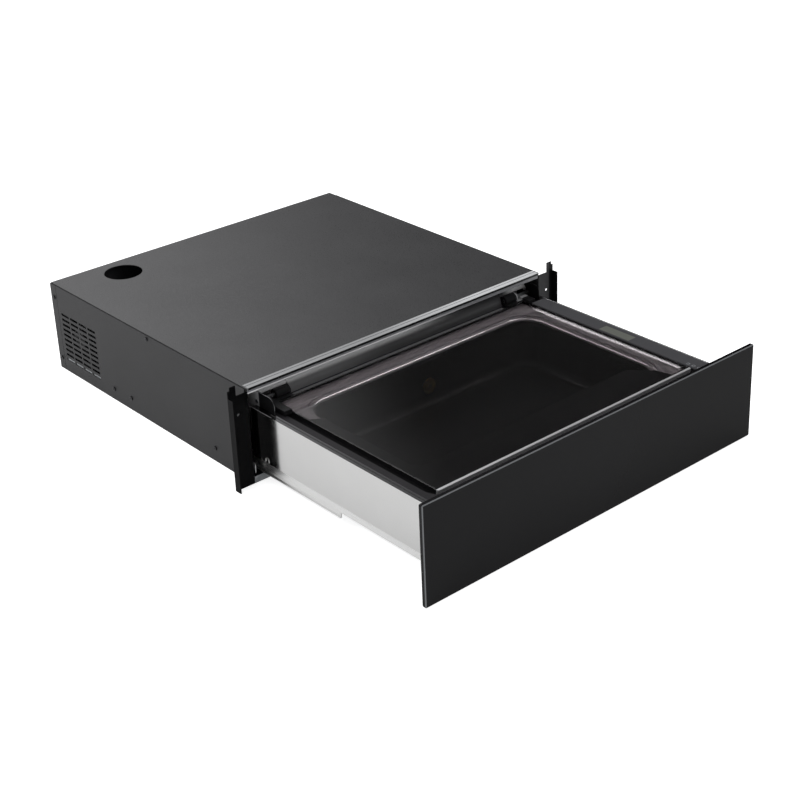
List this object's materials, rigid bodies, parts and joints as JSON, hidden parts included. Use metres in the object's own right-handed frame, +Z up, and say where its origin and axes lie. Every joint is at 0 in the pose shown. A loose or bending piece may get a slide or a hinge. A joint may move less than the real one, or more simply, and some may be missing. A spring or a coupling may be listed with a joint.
{
  "type": "vacuum sealing drawer",
  "caption": "Built-in kitchen drawer with a glass-lidded vacuum chamber, heated sealing bar, touch strip and glass front, sliding out of a flat sheet-metal housing.",
  "frame": {"origin": "underside of the housing, in the middle of its front edge", "axes": "+X to the right seen from the front, +Y to the rear, +Z up; the front faces -Y"},
  "size_m": [0.595, 0.883, 0.152],
  "materials": {
    "housing_paint": "matt black powder coat",
    "cover_paint": "fine-textured dark grey coat",
    "zinc_sheet": "galvanised",
    "bright_strip": "bright rolled",
    "bracket_paint": "black",
    "crossbar_paint": "grey",
    "screw_steel": "black zinc-plated",
    "rail_steel": "bright",
    "rail_dark": "dark",
    "stainless": "fine brushed",
    "chamber_steel": "deep-drawn satin",
    "deck_plastic": "dark grey",
    "black_plastic": "black",
    "front_glass": "black-backed",
    "lid_glass": "smoked",
    "control_glass": "black-backed",
    "display_face": "grey display",
    "seal_rubber": "translucent silicone",
    "hose_rubber": "silicone hose",
    "foot_rubber": "black",
    "bar_aluminium": "black anodised",
    "band_tape": "black coated glass-fibre tape",
    "counter_silicone": "black silicone",
    "cast_pump": "grey",
    "motor_paint": "dark grey",
    "shaft_steel": "turned",
    "filter_paint": "light grey",
    "brass_valve": "turned",
    "circuit_board": "green laminate",
    "nylon": "natural nylon"
  },
  "bodies": {
    "housing": {"base_pan": "zinc_sheet", "side_panel_left": "housing_paint", "side_panel_right": "housing_paint", "rear_panel": "housing_paint", "top_cover": "cover_paint", "front_trim_strip": "bright_strip", "top_crossbar": "crossbar_paint", "bracket_left": "bracket_paint", "bracket_right": "bracket_paint", "partition": "zinc_sheet", "housing_screws": "screw_steel", "rail_fixed_left": "rail_dark", "rail_fixed_right": "rail_dark", "pump_hose": "hose_rubber", "cable_chain": "black_plastic", "vacuum_pump": "cast_pump", "pump_feet": "foot_rubber", "pump_motor": "motor_paint", "exhaust_filter": "filter_paint", "valve_block": "brass_valve", "fan_frame": "black_plastic", "power_board": "circuit_board", "board_standoffs": "nylon", "mains_inlet": "black_plastic", "latch_body": "nylon"},
    "drawer": {"rail_moving_left": "rail_steel", "rail_moving_right": "rail_steel", "drawer_frame": "zinc_sheet", "drawer_side_left": "stainless", "drawer_side_right": "stainless", "back_cover": "stainless", "front_panel": "front_glass", "panel_carrier": "bracket_paint", "front_cross_member": "zinc_sheet", "deck_frame": "deck_plastic", "chamber": "chamber_steel", "chamber_seal": "seal_rubber", "suction_fitting": "brass_valve", "suction_hose": "hose_rubber", "lift_cylinders": "bar_aluminium", "control_glass": "control_glass", "display": "display_face", "control_box": "black_plastic", "control_board": "circuit_board", "hinge_plate_left": "bracket_paint", "hinge_plate_right": "bracket_paint", "hinge_pins": "shaft_steel"},
    "slide_left": {"rail_middle_left": "rail_steel"},
    "slide_right": {"rail_middle_right": "rail_steel"},
    "lid": {"lid_glass": "lid_glass", "lid_grip": "bright_strip", "lid_hinge_left": "black_plastic", "lid_hinge_right": "black_plastic", "counter_bar": "counter_silicone"},
    "sealing_bar": {"seal_bar": "bar_aluminium", "seal_band": "band_tape"},
    "latch": {"latch_plunger": "nylon"},
    "rotor": {"motor_rotor": "shaft_steel"},
    "fan": {"fan_wheel": "black_plastic"}
  },
  "joints": [
    {"name": "drawer_slide", "type": "slide", "parent": "housing", "child": "drawer", "axis": [0, 1, 0], "range_m": [0, 0.36], "deforming": ["cable_chain"]},
    {"name": "slide_left_run", "type": "slide", "parent": "housing", "child": "slide_left", "axis": [0, 1, 0], "range_m": [0, 0.18]},
    {"name": "slide_right_run", "type": "slide", "parent": "housing", "child": "slide_right", "axis": [0, 1, 0], "range_m": [0, 0.18]},
    {"name": "lid_hinge", "type": "hinge", "parent": "drawer", "child": "lid", "pos_m": [0, 0.002, 0.115], "axis": [1, 0, 0], "range_deg": [-75, 0]},
    {"name": "sealing_bar_lift", "type": "slide", "parent": "drawer", "child": "sealing_bar", "axis": [0, 0, 1], "range_m": [0, 0.0065]},
    {"name": "latch_press", "type": "slide", "parent": "housing", "child": "latch", "axis": [0, 1, 0], "range_m": [0, 0.004], "stiffness_N_per_m": 600},
    {"name": "rotor_spin", "type": "hinge", "parent": "housing", "child": "rotor", "pos_m": [0, 0.445, 0.066], "axis": [1, 0, 0], "continuous": true},
    {"name": "fan_spin", "type": "hinge", "parent": "housing", "child": "fan", "pos_m": [-0.255, 0.438, 0.065], "axis": [1, 0, 0], "continuous": true}
  ],
  "couplings": [
    {"joint": "slide_left_run", "follows": "drawer_slide", "ratio": 0.5},
    {"joint": "slide_right_run", "follows": "drawer_slide", "ratio": 0.5}
  ]
}
